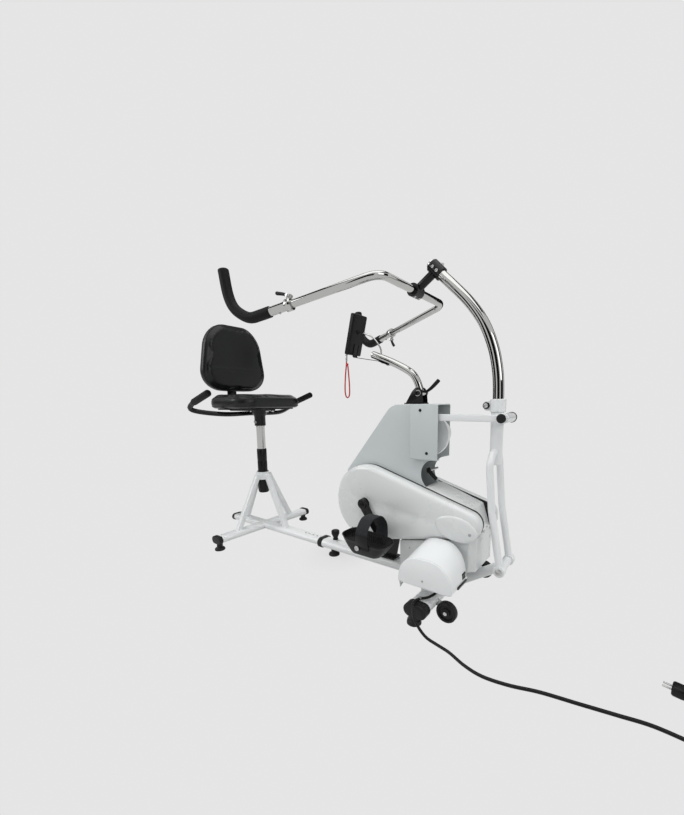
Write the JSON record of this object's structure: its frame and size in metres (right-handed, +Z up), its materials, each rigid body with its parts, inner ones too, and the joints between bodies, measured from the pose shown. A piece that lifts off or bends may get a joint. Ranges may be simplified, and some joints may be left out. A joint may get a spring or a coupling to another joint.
{
  "type": "motorized therapy bike",
  "caption": "Seated arm and leg exercise machine: swivel seat on a sliding stand, motor drive with strapped pedals, a rocking arm with handlebar, and a console on a mast.",
  "frame": {"origin": "on the floor, at the middle of the machine's footprint box without its mains cord", "axes": "+X points forward, from the seat to the rocking arm; +Y is the rider's left, the side away from the motor hood; +Z is up"},
  "size_m": [2.0327, 0.773, 1.1191],
  "materials": {
    "beige_cable": "smooth cable sheath",
    "black_plastic": "satin black",
    "black_rubber": "matt black",
    "black_vinyl": "soft black vinyl with a fine grain",
    "black_webbing": "woven webbing",
    "chrome": "polished",
    "cover_plastic": "smooth white moulding",
    "grey_enamel": "grey-white powder coat",
    "red_cord": "woven red cord",
    "steel": "plain machined",
    "white_enamel": "glossy white powder coat"
  },
  "bodies": {
    "base": {"main_beam": "white_enamel", "beam_foot": "black_rubber", "front_frame": "white_enamel", "stabiliser_cap_near": "black_rubber", "stabiliser_cap_far": "black_rubber", "rocker_pivot_bolt": "black_plastic", "chassis": "steel", "side_cover_near": "cover_plastic", "side_cover_far": "cover_plastic", "fin_shroud": "grey_enamel", "base_casing": "cover_plastic", "guard_box": "grey_enamel", "motor": "steel", "drive_belt": "black_rubber", "motor_hood": "cover_plastic", "mast_bracket": "black_plastic", "cord_gland": "black_plastic", "cord": "black_rubber", "cord_coil": "black_rubber", "cord_plug": "black_plastic"},
    "near_wheel": {"wheel_near": "black_rubber"},
    "far_wheel": {"wheel_far": "black_rubber"},
    "beam_knob": {"beam_lock_knob": "black_plastic"},
    "switch": {"power_switch": "black_plastic"},
    "cranks": {"crank_shaft": "steel", "crank_arm_near": "black_plastic", "crank_arm_far": "black_plastic"},
    "near_pedal": {"pedal_near": "black_plastic", "pedal_strap_near": "black_webbing"},
    "far_pedal": {"pedal_far": "black_plastic", "pedal_strap_far": "black_webbing"},
    "disc": {"rocker_disc": "white_enamel"},
    "rocker": {"rocker_fork": "white_enamel"},
    "rod": {"push_rod": "white_enamel"},
    "neck": {"gooseneck": "chrome", "bar_stem": "black_plastic"},
    "bar": {"handlebar": "chrome"},
    "near_grip": {"grip_tube_near": "chrome", "foam_grip_near": "black_rubber"},
    "far_grip": {"grip_tube_far": "chrome", "foam_grip_far": "black_rubber"},
    "near_lever": {"clamp_lever_near": "black_plastic"},
    "far_lever": {"clamp_lever_far": "black_plastic"},
    "console_mast": {"mast": "chrome", "console": "black_plastic", "console_cable": "beige_cable", "safety_lanyard": "red_cord"},
    "button": {"console_button": "black_plastic"},
    "ratchet": {"mast_lever": "black_plastic"},
    "stand": {"stand_frame": "white_enamel", "stand_end_near": "black_rubber", "stand_end_far": "black_rubber", "stand_cap_rear": "black_rubber", "height_sleeve": "black_plastic"},
    "cone": {"lock_cone": "black_plastic"},
    "post": {"seat_post": "chrome"},
    "seat": {"seat_frame": "black_plastic", "seat_cushion": "black_vinyl", "back_cushion": "black_vinyl", "side_handles": "black_rubber"}
  },
  "joints": [
    {"name": "stand_slide", "type": "slide", "parent": "base", "child": "stand", "axis": [1, 0, 0], "range_m": [-0.1, 0.1]},
    {"name": "beam_lock_pull", "type": "slide", "parent": "base", "child": "beam_knob", "axis": [0, 0, 1], "range_m": [0, 0.01], "stiffness_N_per_m": 800},
    {"name": "height_lock_turn", "type": "hinge", "parent": "stand", "child": "cone", "pos_m": [-0.48385, 0, 0.29], "axis": [0, 0, 1], "range_deg": [-90, 90]},
    {"name": "seat_height", "type": "slide", "parent": "stand", "child": "post", "axis": [0, 0, 1], "range_m": [-0.05, 0.08]},
    {"name": "seat_swivel", "type": "hinge", "parent": "post", "child": "seat", "pos_m": [-0.48385, 0, 0.59], "axis": [0, 0, 1], "range_deg": [-90, 90]},
    {"name": "crank_spin", "type": "hinge", "parent": "base", "child": "cranks", "pos_m": [0.24315, 0, 0.302], "axis": [0, 1, 0], "continuous": true},
    {"name": "pedal_spin_near", "type": "hinge", "parent": "cranks", "child": "near_pedal", "pos_m": [0.31471, 0, 0.19347], "axis": [0, 1, 0], "continuous": true},
    {"name": "pedal_spin_far", "type": "hinge", "parent": "cranks", "child": "far_pedal", "pos_m": [0.17159, 0, 0.41053], "axis": [0, 1, 0], "continuous": true},
    {"name": "disc_spin", "type": "hinge", "parent": "base", "child": "disc", "pos_m": [0.46415, 0, 0.559], "axis": [0, 1, 0], "continuous": true},
    {"name": "arm_rock", "type": "hinge", "parent": "base", "child": "rocker", "pos_m": [0.71915, 0, 0.15], "axis": [0, 1, 0], "range_deg": [-7, 7]},
    {"name": "rod_swing", "type": "hinge", "parent": "rocker", "child": "rod", "pos_m": [0.71015, 0, 0.617], "axis": [0, 1, 0], "range_deg": [-7, 7]},
    {"name": "neck_height", "type": "slide", "parent": "rocker", "child": "neck", "axis": [0, 0, 1], "range_m": [0, 0.08]},
    {"name": "bar_tilt", "type": "hinge", "parent": "neck", "child": "bar", "pos_m": [0.39115, 0, 1.035], "axis": [0, 1, 0], "range_deg": [-15, 15]},
    {"name": "grip_reach_near", "type": "slide", "parent": "bar", "child": "near_grip", "axis": [-0.9443, -0.2701, -0.1881], "range_m": [0, 0.03]},
    {"name": "grip_reach_far", "type": "slide", "parent": "bar", "child": "far_grip", "axis": [-0.9443, 0.2701, -0.1881], "range_m": [0, 0.03]},
    {"name": "clamp_swing_near", "type": "hinge", "parent": "near_grip", "child": "near_lever", "pos_m": [0.0994, -0.29946, 1.00419], "axis": [0, 1, 0], "range_deg": [0, 80]},
    {"name": "clamp_swing_far", "type": "hinge", "parent": "far_grip", "child": "far_lever", "pos_m": [0.0994, 0.29946, 0.9496], "axis": [0, 1, 0], "range_deg": [0, 60]},
    {"name": "mast_tilt", "type": "hinge", "parent": "base", "child": "console_mast", "pos_m": [0.41215, 0, 0.697], "axis": [0, 1, 0], "range_deg": [-15, 15]},
    {"name": "mast_lock_turn", "type": "hinge", "parent": "base", "child": "ratchet", "pos_m": [0.41215, 0, 0.697], "axis": [0, 1, 0], "range_deg": [-30, 30]},
    {"name": "button_press", "type": "slide", "parent": "console_mast", "child": "button", "axis": [0.9703, 0, -0.2419], "range_m": [0, 0.0015], "stiffness_N_per_m": 500},
    {"name": "switch_rock", "type": "hinge", "parent": "base", "child": "switch", "pos_m": [0.63565, -0.128, 0.142], "axis": [0, 1, 0], "range_deg": [-6, 6]},
    {"name": "wheel_spin_near", "type": "hinge", "parent": "base", "child": "near_wheel", "pos_m": [0.60215, -0.172, 0.034], "axis": [0, 1, 0], "continuous": true},
    {"name": "wheel_spin_far", "type": "hinge", "parent": "base", "child": "far_wheel", "pos_m": [0.60215, 0.172, 0.034], "axis": [0, 1, 0], "continuous": true}
  ],
  "couplings": [
    {"joint": "disc_spin", "follows": "crank_spin", "ratio": 1},
    {"joint": "rod_swing", "follows": "arm_rock", "ratio": -1}
  ]
}
